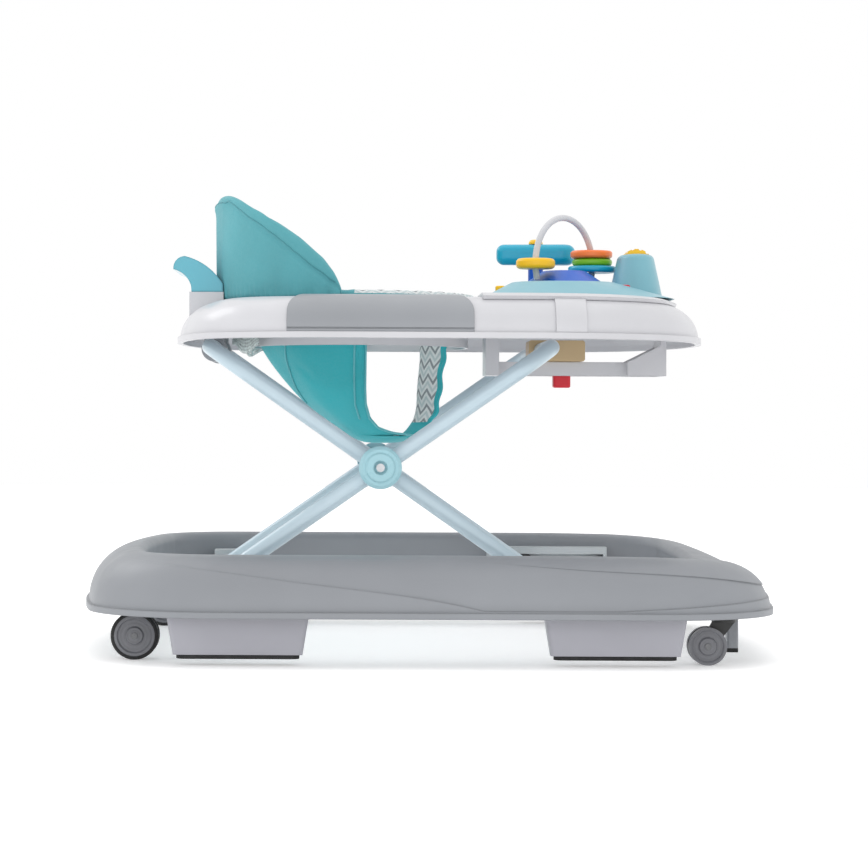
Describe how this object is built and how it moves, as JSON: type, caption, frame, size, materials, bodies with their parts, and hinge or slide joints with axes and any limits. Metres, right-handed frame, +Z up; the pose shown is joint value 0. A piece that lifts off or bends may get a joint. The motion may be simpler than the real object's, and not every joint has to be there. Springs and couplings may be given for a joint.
{
  "type": "baby walker",
  "caption": "Folding baby walker: wheeled floor tray, crossed tube frame, upper ring with sling seat and backrest, and a play tray with toys.",
  "frame": {"origin": "on the floor under the middle of the floor tray", "axes": "+X to the walker's front, +Y to its left, +Z up"},
  "size_m": [0.69, 0.604, 0.4611],
  "materials": {
    "base_plastic": "fine-grained satin moulding",
    "bracket_plastic": "satin moulding",
    "dark_plastic": "matt dark moulding",
    "wheel_plastic": "satin moulding",
    "black_rubber": "matt rubber",
    "steel": "plain steel",
    "tube_paint": "pale blue-grey powder coat",
    "aqua_plastic": "glossy moulding",
    "pale_aqua_plastic": "glossy moulding",
    "white_plastic": "satin moulding",
    "box_plastic": "satin moulding",
    "grey_plastic": "satin moulding",
    "sky_plastic": "glossy moulding",
    "beige_plastic": "natural nylon",
    "red_plastic": "glossy moulding",
    "yellow_plastic": "glossy moulding",
    "orange_plastic": "glossy moulding",
    "green_plastic": "glossy moulding",
    "blue_plastic": "glossy moulding",
    "teal_plastic": "glossy moulding",
    "turquoise_fabric": "smooth woven polyester"
  },
  "bodies": {
    "base": {"base_shell": "base_plastic", "pivot_brackets": "bracket_plastic", "pivot_pins": "dark_plastic", "slide_tracks": "bracket_plastic", "track_stops": "dark_plastic", "rear_wheel_brackets": "dark_plastic", "caster_sockets": "white_plastic", "rear_stopper_boxes": "box_plastic", "front_stopper_boxes": "box_plastic", "stopper_strips": "black_rubber", "front_stop_posts": "grey_plastic", "front_stop_pads": "black_rubber"},
    "outer_leg": {"outer_frame": "tube_paint", "hub_pins": "steel", "hub_covers": "aqua_plastic", "hub_screws": "steel"},
    "inner_leg": {"inner_frame": "tube_paint", "hub_washers": "white_plastic", "hub_inner_caps": "aqua_plastic"},
    "shoes": {"slide_shoes": "dark_plastic"},
    "slider": {"height_slider": "beige_plastic"},
    "release": {"release_button": "red_plastic"},
    "ring": {"top_ring": "white_plastic", "side_panel_right": "grey_plastic", "side_panel_left": "grey_plastic", "rear_clamps": "grey_plastic", "adjuster_rail": "white_plastic", "push_handle": "sky_plastic", "backrest": "turquoise_fabric", "seat_rim": "turquoise_fabric", "seat_sling": "turquoise_fabric", "tray_plate": "white_plastic", "tray_clips": "white_plastic", "tray_top": "pale_aqua_plastic", "roller_axle": "steel", "toy_dome": "blue_plastic", "toy_arch": "white_plastic", "spinner_post": "blue_plastic", "spinner_knob": "yellow_plastic"},
    "roller": {"toy_roller": "yellow_plastic"},
    "red_push": {"red_push_button": "red_plastic"},
    "yellow_push": {"yellow_push_button": "yellow_plastic"},
    "teal_bead": {"bead_teal": "teal_plastic"},
    "green_bead": {"bead_green": "green_plastic"},
    "orange_bead": {"bead_orange": "orange_plastic"},
    "yellow_bead": {"bead_yellow": "yellow_plastic"},
    "spinner": {"spinner": "teal_plastic"},
    "rear_wheel_right": {"rear_wheel_right": "wheel_plastic", "rear_tyre_right": "black_rubber", "rear_axle_right": "steel"},
    "caster_right": {"caster_fork_right": "dark_plastic"},
    "caster_wheel_right": {"caster_wheel_right": "wheel_plastic", "caster_axle_right": "steel"},
    "rear_wheel_left": {"rear_wheel_left": "wheel_plastic", "rear_tyre_left": "black_rubber", "rear_axle_left": "steel"},
    "caster_left": {"caster_fork_left": "dark_plastic"},
    "caster_wheel_left": {"caster_wheel_left": "wheel_plastic", "caster_axle_left": "steel"}
  },
  "joints": [
    {"name": "fold", "type": "hinge", "parent": "base", "child": "outer_leg", "pos_m": [-0.21183, 0, 0.07029], "axis": [0, 1, 0], "range_deg": [-5, 27]},
    {"name": "hub", "type": "hinge", "parent": "outer_leg", "child": "inner_leg", "pos_m": [-0.048, 0, 0.185], "axis": [0, 1, 0], "range_deg": [-54.5, 10.5]},
    {"name": "ring_pivot", "type": "hinge", "parent": "inner_leg", "child": "ring", "pos_m": [-0.21593, 0, 0.30258], "axis": [0, 1, 0], "range_deg": [-5.5, 27.5]},
    {"name": "slider_pivot", "type": "hinge", "parent": "outer_leg", "child": "slider", "pos_m": [0.11993, 0, 0.30258], "axis": [0, 1, 0], "range_deg": [-27.5, 5.5]},
    {"name": "shoe_pivot", "type": "hinge", "parent": "inner_leg", "child": "shoes", "pos_m": [0.11583, 0, 0.07029], "axis": [0, 1, 0], "range_deg": [-5.5, 27.5]},
    {"name": "release_press", "type": "slide", "parent": "slider", "child": "release", "axis": [0, 0, 1], "range_m": [0, 0.004], "stiffness_N_per_m": 400},
    {"name": "rear_wheel_right_spin", "type": "hinge", "parent": "base", "child": "rear_wheel_right", "pos_m": [-0.283, -0.205, 0.023], "axis": [0, 1, 0], "continuous": true},
    {"name": "caster_right_swivel", "type": "hinge", "parent": "base", "child": "caster_right", "pos_m": [0.278, -0.24, 0.045], "axis": [0, 0, 1], "continuous": true},
    {"name": "caster_wheel_right_spin", "type": "hinge", "parent": "caster_right", "child": "caster_wheel_right", "pos_m": [0.262, -0.24, 0.018], "axis": [0, 1, 0], "continuous": true},
    {"name": "rear_wheel_left_spin", "type": "hinge", "parent": "base", "child": "rear_wheel_left", "pos_m": [-0.283, 0.205, 0.023], "axis": [0, 1, 0], "continuous": true},
    {"name": "caster_left_swivel", "type": "hinge", "parent": "base", "child": "caster_left", "pos_m": [0.278, 0.24, 0.045], "axis": [0, 0, 1], "continuous": true},
    {"name": "caster_wheel_left_spin", "type": "hinge", "parent": "caster_left", "child": "caster_wheel_left", "pos_m": [0.262, 0.24, 0.018], "axis": [0, 1, 0], "continuous": true},
    {"name": "roller_spin", "type": "hinge", "parent": "ring", "child": "roller", "pos_m": [0.219, 0, 0.392], "axis": [0, 1, 0], "continuous": true},
    {"name": "spinner_spin", "type": "hinge", "parent": "ring", "child": "spinner", "pos_m": [0.121, 0.082, 0.408], "axis": [0, 0, 1], "continuous": true},
    {"name": "teal_bead_spin", "type": "hinge", "parent": "ring", "child": "teal_bead", "pos_m": [0.17739, 0.03597, 0.3899], "axis": [0, 0, 1], "continuous": true},
    {"name": "green_bead_spin", "type": "hinge", "parent": "ring", "child": "green_bead", "pos_m": [0.17732, 0.03589, 0.3974], "axis": [0, 0, 1], "continuous": true},
    {"name": "orange_bead_glide", "type": "hinge", "parent": "ring", "child": "orange_bead", "pos_m": [0.145, 0, 0.393], "axis": [0.7431, -0.6691, 0], "range_deg": [0, 68]},
    {"name": "yellow_bead_glide", "type": "hinge", "parent": "ring", "child": "yellow_bead", "pos_m": [0.145, 0, 0.393], "axis": [-0.7431, 0.6691, 0], "range_deg": [0, 68]},
    {"name": "red_push_press", "type": "slide", "parent": "ring", "child": "red_push", "axis": [0, 0, -1], "range_m": [0, 0.002], "stiffness_N_per_m": 200},
    {"name": "yellow_push_press", "type": "slide", "parent": "ring", "child": "yellow_push", "axis": [0, 0, -1], "range_m": [0, 0.002], "stiffness_N_per_m": 200}
  ],
  "couplings": [
    {"joint": "hub", "follows": "fold", "ratio": -2},
    {"joint": "ring_pivot", "follows": "fold", "ratio": 1},
    {"joint": "slider_pivot", "follows": "fold", "ratio": -1},
    {"joint": "shoe_pivot", "follows": "fold", "ratio": 1}
  ]
}
